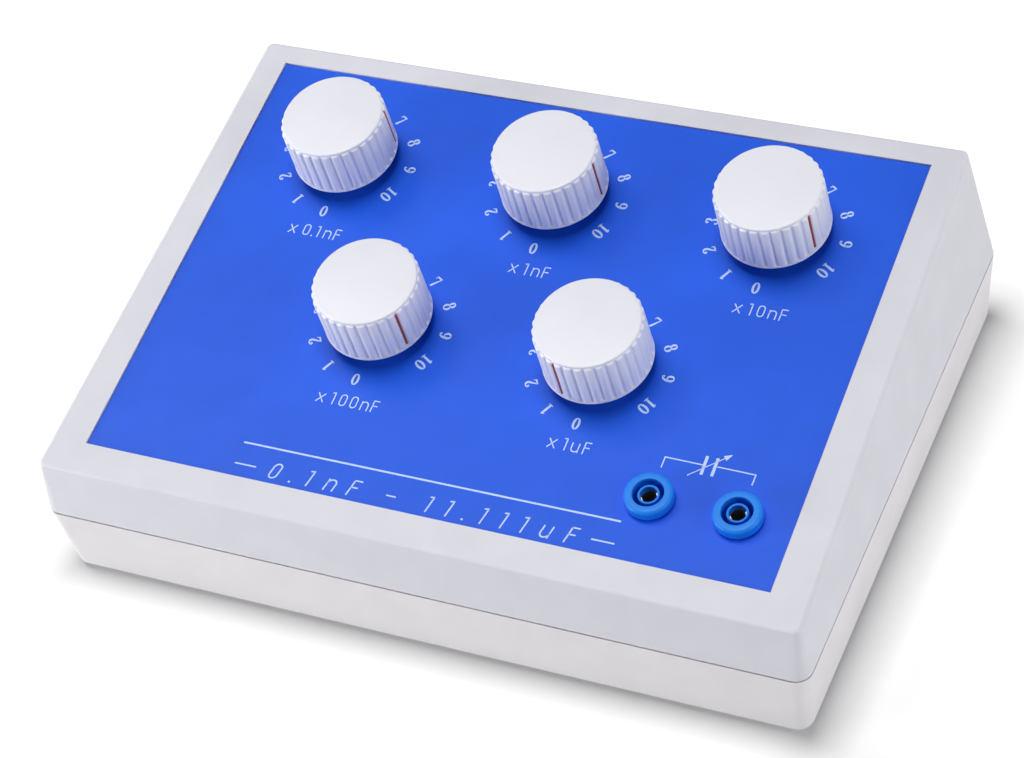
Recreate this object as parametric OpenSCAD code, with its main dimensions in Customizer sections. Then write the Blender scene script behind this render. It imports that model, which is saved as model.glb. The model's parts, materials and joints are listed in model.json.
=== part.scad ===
// Capacitance decade box: a sloped two-part plastic case with a blue panel, five decade
// switches with fluted knobs, and two shrouded 4 mm sockets. Millimetres, +Z up.
// The origin is on the table, under the middle of the case. +X is right, +Y is to the back.

/* [Case] */
// Width of the case at the seam
case_w = 200; // [198:1:220]
// Depth of the case at the seam
case_d = 148; // [146:1:170]
// Height of the seam above the underside of the case
seam_h = 20.6; // [18:0.2:23]
// Height of the top's front edge above the underside of the case
front_h = 35.7; // [34:0.1:44]
// Slope of the top, in degrees
tilt = 9.65; // [8:0.05:13]
// Thickness of the case walls
wall = 2.5; // [2:0.1:3]
// Inward draft of the side walls above the seam, in degrees
side_draft = 4.5; // [2:0.1:5]
// How far the front wall leans in between the seam and the top
front_lean = 1.75; // [1:0.05:3]
// How far the back wall leans in between the seam and the top
back_lean = 8.15; // [6:0.05:9]
// How much narrower the underside is than the seam, on each side
base_taper = 1.8; // [1:0.1:2.2]
// Radius of the upright corners at the seam and below it
corner_r = 4; // [3.5:0.1:6]
// Radius of the upright corners at the top
top_corner_r = 2; // [1.6:0.1:4]
// Rounding of the top edges
edge_r = 1; // [0.6:0.1:1.5]
// Rounding of the bottom edges
base_edge_r = 1; // [0.8:0.1:2]
// Height of the dark groove between the two halves
seam_gap = 0.5; // [0.2:0.1:0.8]
// Height of the locating lip inside the seam
lip_h = 2; // [1.5:0.1:3]
// Thickness of the locating lip
lip_t = 1.1; // [0.9:0.1:1.3]

/* [Case fixings] */
// Distance of each case screw from the side of the case
boss_inset_x = 10.5; // [10:0.5:11]
// Distance of each case screw from the front or back of the case
boss_inset_y = 14; // [13:0.5:16]
// Radius of the screw pillars
boss_r = 4; // [3.6:0.1:4.4]
// Radius of the case screws
case_screw_r = 1.5; // [1.2:0.1:1.7]
// How far the case screws reach into the upper pillars
case_screw_bite = 11; // [8:0.5:12]
// Radius of the case screws' heads
case_screw_head_r = 2.8; // [2.5:0.1:3]
// Height of the case screws' heads
case_screw_head_h = 2.2; // [1.5:0.1:2.6]
// Depth of the holes that the case screws' heads go up
head_well = 10; // [8:0.5:12]
// Radius of the rubber feet
foot_r = 5.5; // [4:0.5:7]
// How far the feet stand below the case
foot_stand = 1.5; // [1:0.1:3]
// Depth of the pocket that each foot is glued into
foot_pocket = 1; // [0.5:0.1:1.3]
// Bevel of the feet
foot_bevel = 0.5; // [0.2:0.1:0.8]
// Distance of each foot from the side of the case
foot_inset_x = 26; // [24:1:34]
// Distance of each foot from the front or back of the case
foot_inset_y = 16; // [15:1:24]

/* [Panel] */
// Width of the rim in front of the panel
front_rim = 9.1; // [8:0.1:10]
// Width of the rim behind the panel
back_rim = 6.4; // [5.8:0.1:7.5]
// Width of the rim on each side of the panel, at its back
side_rim = 8; // [7.4:0.1:9]
// How far the panel lies below the rim
panel_sink = 0.5; // [0.2:0.1:0.8]
// Thickness of the printed film
film_t = 0.25; // [0.15:0.05:0.4]
// Thickness of the metal plate under the film
plate_t = 1.5; // [1.2:0.1:2]
// Width of the ledge that the plate lies on
ledge_w = 3; // [2:0.1:3.2]
// Thickness of the ledge
ledge_t = 2; // [1.5:0.1:3]
// Play of the plate in its recess
panel_play = 0.15; // [0.05:0.05:0.3]
// Distance of each panel screw from the panel's edges
panel_screw_inset = 5.5; // [5:0.1:6]
// Radius of the panel screws
panel_screw_r = 1.2; // [1:0.1:1.4]
// Length of the panel screws below the plate
panel_screw_bite = 5; // [4:0.5:6]
// Radius of the panel screws' heads
panel_screw_head_r = 2.4; // [2:0.1:2.6]
// Width of the square pads that the panel screws bite into
pad_w = 8; // [7:0.2:8.4]
// Thickness of a pad past the end of its screw's hole
pad_floor = 1; // [0.8:0.1:2]

/* [Dials] */
// Distance of the outer dials from the panel's sides
dial_side_inset = 30.5; // [29:0.5:34]
// Distance of the back row of dials from the panel's back edge
back_row_inset = 27.1; // [25.5:0.1:29]
// Distance of the front row of dials from the panel's front edge
front_row_inset = 50.4; // [49.5:0.1:51.5]
// Number that each dial is set to
dial_setting = [8, 9, 10, 10, 1]; // [0:1:10]
// How far each knob is turned from its number on its spindle, in degrees
knob_slip = [-10, -4, 4.5, -3, 11.5]; // [-15:0.5:15]
// Degrees between two numbers
dial_step = 30; // [20:1:32]

/* [Knobs] */
// Radius of a knob at the bottom
knob_r = 13.7; // [12.5:0.1:14]
// Radius of a knob at the top of its flutes
knob_top_r = 13.6; // [13.4:0.05:13.7]
// Height of a knob
knob_h = 14.2; // [13:0.1:18]
// Gap between a knob and the panel
knob_gap = 3.5; // [2:0.1:4]
// Wall of a knob
knob_wall = 2.2; // [2:0.1:2.6]
// Thickness of a knob's top
knob_top_t = 2; // [1.5:0.1:2.5]
// Height of the cap on a knob, above the flutes
knob_cap_h = 0.7; // [0.7:0.1:1.2]
// How far the cap's edge lies inside the floor of the flutes
knob_cap_step = 0.1; // [0.05:0.05:0.4]
// Bevel round a knob's cap
knob_bevel = 0.5; // [0.2:0.1:0.6]
// Number of flutes round a knob
flute_n = 32; // [24:1:40]
// Radius of a flute
flute_r = 0.45; // [0.4:0.05:1.2]
// Depth of a flute
flute_depth = 0.45; // [0.3:0.05:0.6]
// Height of the plain ring under the flutes
knob_skirt = 0.6; // [0.3:0.1:1]
// Radius of the hub inside a knob
hub_r = 5.4; // [5:0.1:6]
// Gap between a bushing and the hub above it
hub_gap = 0.6; // [0.3:0.1:1]
// Width of the pointer line
pointer_w = 0.5; // [0.4:0.05:0.7]
// Depth of the pointer line's slot under the flute
pointer_t = 0.6; // [0.4:0.05:0.8]
// How far the pointer line stands out of its flute's floor
pointer_proud = 0.1; // [0:0.05:0.2]
// Distance of the pointer line from the knob's bottom
pointer_foot = 1.3; // [1:0.1:2]
// Distance of the pointer line from the top of the flutes
pointer_head = 0.3; // [0.2:0.1:1]

/* [Switches] */
// Radius of a spindle
spindle_r = 3; // [2.8:0.1:3.2]
// Depth of the flat on a spindle
spindle_flat = 1.2; // [0.8:0.1:1.5]
// Length of a spindle inside its knob
spindle_bite = 8; // [6:0.5:8.5]
// Radius of a spindle's tail
tail_r = 2; // [1.6:0.1:2.1]
// How far a spindle's tail stands out of its wafer
tail_stub = 0.5; // [0.2:0.1:1]
// Radius of a threaded bushing
bushing_r = 5; // [4.5:0.1:5.5]
// Length of a bushing above the panel
bushing_h = 5.2; // [4.6:0.1:5.4]
// Radius of a switch housing
switch_r = 13.5; // [13.2:0.1:14]
// Thickness of a housing's front wall
switch_front = 1.5; // [1.2:0.1:2]
// Radius of the room inside a housing
race_r = 11; // [10.8:0.1:11.1]
// Radius of a rotor
rotor_r = 10.4; // [10.2:0.1:10.5]
// Thickness of a rotor
rotor_t = 5.5; // [5:0.1:6.5]
// Wall between a spindle and the detent bores in its rotor
rotor_wall = 0.9; // [0.6:0.1:1.2]
// Radius of a detent ball
ball_r = 1.5; // [1.2:0.1:1.6]
// How far a detent ball stands out of its rotor
ball_out = 0.3; // [0.1:0.05:0.35]
// Depth of the detent notches in a housing
notch_depth = 0.45; // [0.3:0.05:0.5]
// Wall of a detent spring's sleeve
spring_wall = 0.4; // [0.3:0.05:0.5]
// Thickness of a wiper
wiper_t = 0.3; // [0.2:0.05:0.4]
// Width of a wiper's arm
wiper_w = 2.2; // [1.6:0.1:2.4]
// Outer radius of a wiper's ring
wiper_ring_r = 6.2; // [5.8:0.1:6.6]
// Radius of the ring of contacts
contact_ring_r = 9; // [8.6:0.1:9.2]
// Radius of a contact's head
contact_head_r = 1.1; // [0.8:0.1:1.3]
// Height of a contact's head
contact_head_h = 0.6; // [0.4:0.1:1]
// Radius of a contact pin
pin_r = 0.5; // [0.4:0.05:0.6]
// Thickness of a wafer
wafer_t = 2; // [1.5:0.1:2.5]
// Radius of the rivets that hold a wafer
rivet_r = 0.7; // [0.5:0.05:0.75]
// Radius of a rivet's head
rivet_head_r = 1.05; // [0.9:0.05:1.1]
// Height of a rivet's head
rivet_head_h = 0.8; // [0.5:0.1:1]
// Thickness of a washer
washer_t = 0.6; // [0.4:0.1:0.8]
// Outer radius of a washer
washer_r = 9; // [8:0.2:10]
// Width across the flats of a switch nut
switch_nut_af = 14; // [13:0.5:15]
// Thickness of a switch nut
switch_nut_t = 2.4; // [2:0.1:3]
// Radius of the peg that stops a housing turning
peg_r = 1; // [0.8:0.1:1.2]
// Distance of the peg from the spindle
peg_pos_r = 11.2; // [10.8:0.1:11.6]

/* [Board] */
// Distance of the board's sides from the panel's sides
board_side_inset = 9; // [7:0.5:14]
// Distance of the board's front edge from the panel's front edge
board_front_inset = 30.3; // [28.5:0.1:32]
// Distance of the board's back edge from the panel's back edge
board_back_inset = 5.3; // [4.5:0.1:6.5]
// Thickness of the board
board_t = 1.6; // [1.2:0.1:2]
// Gap between a wafer and the board
board_gap = 3.5; // [3:0.1:4.5]
// How far pins and legs stand out of the board
pin_stub = 1.2; // [0.8:0.1:1.5]
// Width, length and height of each decade's capacitors
cap_size = [[3.5, 5, 5], [3.8, 7, 6.5], [4.5, 8.5, 9], [6, 13, 11], [8.8, 16, 14]]; // [3:0.1:16]
// Gap between neighbouring capacitors
cap_gap = 1.2; // [0.8:0.1:1.5]
// Distance of the back row's capacitors behind their dials
cap_back_offset = 15.8; // [15.2:0.1:16.3]
// Distance of the front row's capacitors behind their dials
cap_front_offset = 22.9; // [22:0.1:24]
// Radius of a capacitor's legs
leg_r = 0.35; // [0.25:0.05:0.4]
// Distance of a capacitor's legs from its ends
leg_inset = 1.2; // [0.8:0.1:1.4]
// Gap between a capacitor and the board
cap_stand = 0.3; // [0.1:0.1:0.6]
// How far the legs stand out above the board
leg_stub = 0.5; // [0.3:0.1:1]

/* [Sockets] */
// Distance between the sockets
socket_pitch = 21.8; // [21:0.2:24]
// Distance of the sockets' middle from the panel's right side
socket_side_inset = 24.2; // [22.5:0.1:26]
// Distance of the sockets from the panel's front edge
socket_front_inset = 17.1; // [16:0.1:19]
// Radius of a socket's flange
flange_r = 5.9; // [5.8:0.1:7.5]
// Height of a socket's flange
flange_h = 3.2; // [3:0.1:5]
// Rounding bevel of a flange
flange_bevel = 0.9; // [0.4:0.1:1]
// Radius of a socket's barrel
barrel_r = 5.2; // [5:0.1:5.6]
// Length of a socket's barrel below the panel
barrel_l = 24; // [22:0.5:26]
// Outer radius of the ring slot that takes a plug's shroud
slot_r = 3.8; // [3.7:0.05:4.3]
// Depth of the ring slot below the panel
slot_depth = 19; // [16:0.5:20]
// Outer radius of the inner sleeve
sleeve_r = 2.65; // [2.6:0.05:2.9]
// How far the inner sleeve lies below the flange's top
sleeve_sink = 0.8; // [0.2:0.1:1]
// Radius of the inner sleeve's mouth
mouth_r = 2.06; // [2.05:0.01:2.2]
// Depth of the inner sleeve's mouth above the contact
mouth_depth = 1.8; // [1:0.1:2.5]
// Radius of the bore that takes a plug's pin
plug_bore_r = 2.02; // [2:0.01:2.04]
// Wall of the contact tube
contact_wall = 0.3; // [0.25:0.01:0.4]
// Thickness of the contact's closed end
contact_end = 3; // [2:0.5:4]
// Radius of a contact's solder tail
solder_tail_r = 1; // [0.8:0.1:1.2]
// Length of a contact's solder tail
solder_tail_l = 5; // [3:0.5:5.5]
// Width across the flats of a socket nut
socket_nut_af = 14; // [13:0.5:14.5]
// Thickness of a socket nut
socket_nut_t = 4; // [3:0.5:5]
// Radius of the leads
lead_r = 0.8; // [0.6:0.05:0.9]
// Distance of a lead's hole from the board's front edge
lead_inset = 3.5; // [3:0.1:4]
// How far a lead's hole lies to the side of its socket
lead_shift = -6; // [-7:0.1:-5.5]

/* [Fits] */
// Radial play of a turning shaft in its hole
running_fit = 0.05; // [0.02:0.01:0.08]
// Radial play of a piece pushed home for good
push_fit = 0.02; // [0.01:0.01:0.03]
// Radial play of a fastener or barrel in its hole
clear_fit = 0.1; // [0.05:0.05:0.2]
// End play of a moving piece beside a fixed one
end_play = 0.1; // [0.05:0.05:0.2]
// Gap past the tip of a screw
tip_gap = 0.5; // [0.2:0.1:1]

/* [Hidden] */
$fn = 48;
// Steps of a quarter turn on the shells' corners and edges
ARC_STEPS = 8;
// Overlap that joins two shapes of one piece
EPS = 0.05;
// Extra length of a cut past the face it opens
CUT = 1;
// Least radius of an inside corner, and least rounding of an inside edge
INNER_R = 1;
INNER_EDGE = 0.5;
DIALS = [1, 2, 3, 4, 5];
SOCKETS = [0, 1];
SIDES = [-1, 1];
CAPS = [0, 1, 2, 3];
// Numbers on a dial, each with its contact and its detent notch
NUMBERS = [for (number = [0 : 10]) number];
// A notch for each number, and one at the common contact
NOTCHES = [0 : len(NUMBERS)];

// Case
base_z = foot_stand;
seam_z = base_z + seam_h;
top_front_z = base_z + front_h;
top_front_y = -case_d / 2 + front_lean;
top_l = (case_d - front_lean - back_lean) / cos(tilt);
top_back_z = top_front_z + top_l * sin(tilt);
front_half_w = case_w / 2 - (top_front_z - seam_z) * tan(side_draft);
back_half_w = case_w / 2 - (top_back_z - seam_z) * tan(side_draft);
boss_x = case_w / 2 - boss_inset_x;
boss_y = case_d / 2 - boss_inset_y;
foot_x = case_w / 2 - foot_inset_x;
foot_y = case_d / 2 - foot_inset_y;
head_seat_z = base_z + head_well;

// Panel: heights are above the film, square to the panel
panel_w = 2 * (back_half_w - side_rim);
panel_l = top_l - front_rim - back_rim;
plate_top = -film_t;
plate_under = plate_top - plate_t;
opening_w = panel_w - 2 * ledge_w;
opening_l = panel_l - 2 * ledge_w;
ledge_out_w = panel_w + 2 * ledge_w;
ledge_out_l = panel_l + 2 * ledge_w;
pad_x = panel_w / 2 - panel_screw_inset;
pad_y = panel_l / 2 - panel_screw_inset;
pad_h = panel_screw_bite + pad_floor;

// Dials, in the order of their nodes
dial_pitch = panel_w / 2 - dial_side_inset;
back_row = panel_l / 2 - back_row_inset;
front_row = front_row_inset - panel_l / 2;
dial_pos = [
    [-dial_pitch, back_row], [0, back_row], [dial_pitch, back_row],
    [-dial_pitch / 2, front_row], [dial_pitch / 2, front_row]
];
cap_back_row = back_row + cap_back_offset;
cap_front_row = front_row + cap_front_offset;
cap_row = [cap_back_row, cap_back_row, cap_back_row, cap_front_row, cap_front_row];

// Knobs
knob_top = knob_gap + knob_h;
knob_hollow_top = knob_top - knob_top_t;
flute_top = knob_top - knob_cap_h;
hub_bottom = bushing_h + hub_gap;
flute_floor_r = knob_r - flute_depth;
flute_pos_r = flute_floor_r + flute_r;
knob_cap_r = flute_floor_r - knob_cap_step;
pointer_out_r = flute_floor_r + pointer_proud;
pointer_in_r = pointer_out_r - pointer_t;
pointer_low = knob_gap + pointer_foot;
pointer_l = flute_top - pointer_head - pointer_low;

// Switches, from the panel down
race_top = plate_under - switch_front;
rotor_top = race_top - end_play;
rotor_under = rotor_top - rotor_t;
wiper_under = rotor_under - wiper_t;
head_top = wiper_under - end_play;
wafer_top = head_top - contact_head_h;
wafer_under = wafer_top - wafer_t;
board_top = wafer_under - board_gap;
board_under = board_top - board_t;
spindle_top = min(hub_bottom + spindle_bite, knob_hollow_top - end_play);
tail_under = wafer_under - tail_stub;
ball_pos_r = rotor_r + ball_out - ball_r;
detent_z = rotor_top - rotor_t / 2;
detent_bore_in = spindle_r + rotor_wall;
notch_r = ball_r + 2 * clear_fit;
notch_pos_r = race_r + notch_depth - notch_r;
rivet_pos_r = (notch_pos_r + notch_r + switch_r) / 2;
rivet_angles = [dial_step / 2, dial_step / 2 + 180];
common_r = (tail_r + clear_fit + wiper_ring_r) / 2;
peg_h = plate_t - 2 * end_play;

// Board
board_w = panel_w - 2 * board_side_inset;
board_front = board_front_inset - panel_l / 2;
board_back = panel_l / 2 - board_back_inset;

// Sockets, above the film
socket_x = panel_w / 2 - socket_side_inset;
socket_y = socket_front_inset - panel_l / 2;
sleeve_top = flange_h - sleeve_sink;
contact_top = sleeve_top - mouth_depth;
contact_r = plug_bore_r + contact_wall;
bore_under = -barrel_l + contact_end;
tail_end = -barrel_l - solder_tail_l;
lead_pad_y = board_front + lead_inset;

// Angle of a number on a dial, counted from +X: 0 is at the front, and numbers go clockwise
function number_angle(number) = -90 - dial_step * number;
function spindle_angle(d) = number_angle(dial_setting[d - 1]);
function knob_angle(d) = spindle_angle(d) + knob_slip[d - 1];
function top_z(y) = top_front_z + (y - top_front_y) * tan(tilt);
function socket_place(s) = socket_x + (s - 0.5) * socket_pitch;
// Radius of a regular hexagon's corners, from the width across its flats
function hex_r(across_flats) = across_flats / 2 / cos(30);

// Frames
module on_top() {
    translate([0, top_front_y, top_front_z])
        rotate([tilt, 0, 0])
            children();
}
module on_panel() {
    on_top()
        translate([0, front_rim + panel_l / 2, -panel_sink])
            children();
}
module on_dial(d, angle = 0) {
    on_panel()
        translate([dial_pos[d - 1][0], dial_pos[d - 1][1], 0])
            rotate([0, 0, angle])
                children();
}
module on_sockets() {
    for (s = SOCKETS)
        on_panel()
            translate([socket_place(s), socket_y, 0])
                children();
}
module at_four(x, y) {
    for (side = SIDES)
        for (end = SIDES)
            translate([side * x, end * y, 0])
                children();
}

// Shared shapes
module rounded_rect(w, d, r) {
    square([w - 2 * r, d], center = true);
    square([w, d - 2 * r], center = true);
    at_four(w / 2 - r, d / 2 - r)
        circle(r);
}
// Cylinder between two heights
module disc(r, low, high) {
    translate([0, 0, low])
        cylinder(r = r, h = high - low);
}
// Hexagon between two heights
module hexagon(across_flats, low, high) {
    translate([0, 0, low])
        cylinder(r = hex_r(across_flats), h = high - low, $fn = 6);
}
// Plate centred on the panel's middle, between two heights
module slab(w, l, low, high) {
    translate([-w / 2, -l / 2, low])
        cube([w, l, high - low]);
}
// Arc of points round a centre
function arc(centre, r, from) =
    [for (k = [0 : ARC_STEPS])
        let (angle = from + 90 * k / ARC_STEPS)
        centre + r * [cos(angle), sin(angle)]];
// Four-sided outline with round corners: half widths and places of its front and back
function outline(front_w, back_w, front, back, r) = concat(
    arc([front_w - r, front + r], r, -90),
    arc([back_w - r, back - r], r, 0),
    arc([r - back_w, back - r], r, 90),
    arc([r - front_w, front + r], r, 180)
);
// Thin plates of one outline that round off an edge, the last one in the plane z = 0
module rounded_end(front_w, back_w, front, back, r, edge) {
    for (k = [0 : ARC_STEPS / 2]) {
        turn = 180 * k / ARC_STEPS;
        inset = edge * (1 - cos(turn));
        translate([0, 0, edge * (sin(turn) - 1) - EPS])
            linear_extrude(EPS)
                polygon(outline(front_w - inset, back_w - inset, front + inset, back - inset, r - inset));
    }
}
// Thin plate of the case's outline at the seam, set in by the given amount
module seam_plate(inset, low, r) {
    half_w = case_w / 2 - inset;
    half_d = case_d / 2 - inset;
    translate([0, 0, low])
        linear_extrude(EPS)
            polygon(outline(half_w, half_w, -half_d, half_d, r));
}
// Solid body of the upper half, set in by the given amount
module upper_body(inset, low) {
    r = max(top_corner_r - inset, INNER_R);
    edge = max(edge_r - inset, INNER_EDGE);
    hull() {
        seam_plate(inset, low, max(corner_r - inset, INNER_R));
        on_top()
            translate([0, 0, -inset])
                rounded_end(front_half_w - inset, back_half_w - inset, inset, top_l - inset, r, edge);
    }
}
// Solid body of the lower half, set in by the given amount
module lower_body(inset, high) {
    r = max(corner_r - inset, INNER_R);
    edge = max(base_edge_r - inset, INNER_EDGE);
    half_w = case_w / 2 - base_taper - inset;
    half_d = case_d / 2 - base_taper - inset;
    hull() {
        seam_plate(inset, high - EPS, r);
        translate([0, 0, base_z + inset])
            rotate([180, 0, 0])
                rounded_end(half_w, half_w, -half_d, half_d, r, edge);
    }
}
// Outline of the case at the seam, set in by the given amount
module seam_outline(inset) {
    rounded_rect(case_w - 2 * inset, case_d - 2 * inset, max(corner_r - inset, INNER_R));
}

// Case
module upper_shell() {
    color("whitesmoke")
        difference() {
            union() {
                difference() {
                    union() {
                        difference() {
                            upper_body(0, seam_z + seam_gap / 2);
                            upper_body(wall, seam_z - CUT);
                        }
                        on_panel()
                            slab(ledge_out_w, ledge_out_l, plate_under - ledge_t, plate_under + EPS);
                    }
                    on_panel()
                        slab(opening_w, opening_l, plate_under - 2 * ledge_t, CUT);
                }
                on_panel()
                    at_four(pad_x, pad_y)
                        slab(pad_w, pad_w, plate_under - pad_h, plate_under + EPS);
                for (y = [-boss_y, boss_y])
                    for (x = [-boss_x, boss_x])
                        translate([x, y, 0])
                            disc(boss_r, seam_z, top_z(y) - wall / 2);
            }
            on_panel()
                slab(panel_w + 2 * panel_play, panel_l + 2 * panel_play, plate_under, 2 * panel_sink);
            on_panel()
                at_four(pad_x, pad_y)
                    disc(panel_screw_r + push_fit, plate_under - panel_screw_bite, CUT);
            at_four(boss_x, boss_y)
                disc(case_screw_r + push_fit, seam_z - CUT, seam_z + case_screw_bite);
            translate([0, 0, seam_z])
                linear_extrude(lip_h + end_play)
                    difference() {
                        seam_outline(wall - lip_t - clear_fit);
                        seam_outline(wall + CUT);
                    }
        }
}
module lower_shell() {
    color("white")
        difference() {
            union() {
                difference() {
                    lower_body(0, seam_z - seam_gap / 2);
                    lower_body(wall, seam_z + CUT);
                }
                translate([0, 0, seam_z - lip_h])
                    linear_extrude(2 * lip_h)
                        difference() {
                            seam_outline(wall - lip_t);
                            seam_outline(wall);
                        }
                at_four(boss_x, boss_y)
                    disc(boss_r, base_z + EPS, seam_z);
            }
            at_four(boss_x, boss_y)
                disc(case_screw_r + clear_fit, 0, seam_z + CUT);
            at_four(boss_x, boss_y)
                disc(case_screw_head_r + 2 * clear_fit, 0, head_seat_z);
            at_four(foot_x, foot_y)
                disc(foot_r + clear_fit, 0, base_z + foot_pocket);
        }
}
module case_screws() {
    color("silver")
        at_four(boss_x, boss_y)
            union() {
                disc(case_screw_r, head_seat_z - EPS, seam_z + case_screw_bite - tip_gap);
                disc(case_screw_head_r, head_seat_z - case_screw_head_h, head_seat_z);
            }
}
module rubber_feet() {
    color("dimgray")
        at_four(foot_x, foot_y)
            union() {
                cylinder(r1 = foot_r - foot_bevel, r2 = foot_r, h = foot_bevel);
                disc(foot_r, foot_bevel, foot_stand + foot_pocket);
            }
}

// Panel
module panel_holes(low, high) {
    for (d = DIALS)
        translate([dial_pos[d - 1][0], dial_pos[d - 1][1], 0])
            disc(bushing_r + clear_fit, low, high);
    for (s = SOCKETS)
        translate([socket_place(s), socket_y, 0])
            disc(barrel_r + clear_fit, low, high);
}
module panel_film() {
    color("royalblue")
        on_panel()
            difference() {
                slab(panel_w, panel_l, plate_top, 0);
                panel_holes(plate_top - CUT, CUT);
            }
}
module panel_plate() {
    color("lightgray")
        on_panel()
            difference() {
                slab(panel_w, panel_l, plate_under, plate_top);
                panel_holes(plate_under - CUT, CUT);
                for (p = dial_pos)
                    translate([p[0], p[1] + peg_pos_r, 0])
                        disc(peg_r + clear_fit, plate_under - CUT, CUT);
                at_four(pad_x, pad_y)
                    panel_screw(clear_fit);
            }
}
// Countersunk screw, made larger all round by the given play
module panel_screw(play) {
    head_h = panel_screw_head_r - panel_screw_r;
    disc(panel_screw_r + play, plate_under - panel_screw_bite + tip_gap, plate_top);
    translate([0, 0, plate_top - head_h - play])
        cylinder(r1 = panel_screw_r, r2 = panel_screw_head_r + play, h = head_h + play);
}
module panel_screws() {
    color("silver")
        on_panel()
            at_four(pad_x, pad_y)
                panel_screw(0);
}

// Knobs
module knob(d) {
    color("white")
        on_dial(d, knob_angle(d)) {
            difference() {
                union() {
                    translate([0, 0, knob_gap])
                        cylinder(r1 = knob_r, r2 = knob_top_r, h = flute_top - knob_gap);
                    disc(knob_cap_r, flute_top - EPS, knob_top - knob_bevel);
                    translate([0, 0, knob_top - knob_bevel])
                        cylinder(r1 = knob_cap_r, r2 = knob_cap_r - knob_bevel, h = knob_bevel);
                }
                disc(knob_r - knob_wall, knob_gap - CUT, knob_hollow_top);
                for (k = [0 : flute_n - 1])
                    rotate([0, 0, k * 360 / flute_n])
                        translate([flute_pos_r, 0, 0])
                            disc(flute_r, knob_gap + knob_skirt, flute_top + CUT);
                pointer_bar(push_fit);
            }
            difference() {
                disc(hub_r, hub_bottom, knob_hollow_top + EPS);
                spindle_end(push_fit, hub_bottom - CUT, spindle_top + push_fit);
            }
        }
}
// Bar let into the flute at the knob's own +X, made larger all round by the given play
module pointer_bar(play) {
    translate([pointer_in_r - play, -pointer_w / 2 - play, pointer_low - play])
        cube([pointer_t + play, pointer_w + 2 * play, pointer_l + 2 * play]);
}
module pointer(d) {
    color("firebrick")
        on_dial(d, knob_angle(d))
            pointer_bar(0);
}

// Switches
// End of a spindle with its flat, made larger all round by the given play
module spindle_end(play, low, high) {
    r = spindle_r + play;
    difference() {
        disc(r, low, high);
        translate([-r, spindle_r - spindle_flat + play, low - CUT])
            cube([2 * r, r, high - low + 2 * CUT]);
    }
}
module spindle(d) {
    color("gold")
        on_dial(d, knob_angle(d))
            union() {
                disc(tail_r, tail_under, rotor_under + EPS);
                disc(spindle_r, rotor_under, hub_bottom);
                spindle_end(0, hub_bottom - EPS, spindle_top);
            }
}
module rotor(d) {
    color("ivory")
        on_dial(d, spindle_angle(d))
            difference() {
                disc(rotor_r, rotor_under, rotor_top);
                disc(spindle_r + push_fit, rotor_under - CUT, rotor_top + CUT);
                for (side = [0, 180])
                    rotate([0, 0, side])
                        translate([detent_bore_in, 0, detent_z])
                            rotate([0, 90, 0])
                                cylinder(r = ball_r + running_fit, h = rotor_r);
            }
}
module wiper(d) {
    color("goldenrod")
        on_dial(d, spindle_angle(d))
            difference() {
                union() {
                    disc(wiper_ring_r, wiper_under, rotor_under);
                    translate([0, -wiper_w / 2, wiper_under])
                        cube([contact_ring_r + contact_head_r, wiper_w, wiper_t]);
                }
                disc(tail_r + clear_fit, wiper_under - CUT, rotor_under + CUT);
            }
}
// Two balls, and the sleeve of each ball's spring behind it
module detent(d) {
    spring_r = ball_r - 2 * clear_fit;
    spring_l = ball_pos_r - ball_r - detent_bore_in;
    color("darkgray")
        on_dial(d, spindle_angle(d))
            for (side = [0, 180])
                rotate([0, 0, side])
                    translate([0, 0, detent_z]) {
                        translate([ball_pos_r, 0, 0])
                            sphere(ball_r);
                        translate([detent_bore_in, 0, 0])
                            rotate([0, 90, 0])
                                difference() {
                                    cylinder(r = spring_r, h = spring_l);
                                    translate([0, 0, -CUT])
                                        cylinder(r = spring_r - spring_wall, h = spring_l + 2 * CUT);
                                }
                    }
}
module switch_housing(d) {
    color("slategray")
        on_dial(d)
            difference() {
                union() {
                    disc(switch_r, wafer_top, plate_under);
                    disc(bushing_r, plate_under - EPS, bushing_h);
                    translate([0, peg_pos_r, 0])
                        disc(peg_r, plate_under - EPS, plate_under + peg_h);
                }
                disc(spindle_r + running_fit, race_top - CUT, bushing_h + CUT);
                disc(race_r, wafer_top - CUT, race_top);
                for (k = NOTCHES)
                    rotate([0, 0, k * dial_step])
                        translate([notch_pos_r, 0, 0])
                            disc(notch_r, detent_z - ball_r - end_play, detent_z + ball_r + end_play);
                for (angle = rivet_angles)
                    rotate([0, 0, angle])
                        translate([rivet_pos_r, 0, 0])
                            disc(rivet_r + push_fit, wafer_top - CUT, race_top);
            }
}
module switch_washers() {
    color("silver")
        for (d = DIALS)
            on_dial(d)
                difference() {
                    disc(washer_r, 0, washer_t);
                    disc(bushing_r + clear_fit, -CUT, washer_t + CUT);
                }
}
module switch_nuts() {
    color("silver")
        for (d = DIALS)
            on_dial(d)
                difference() {
                    hexagon(switch_nut_af, washer_t, washer_t + switch_nut_t);
                    disc(bushing_r + push_fit, 0, washer_t + switch_nut_t + CUT);
                }
}
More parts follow.
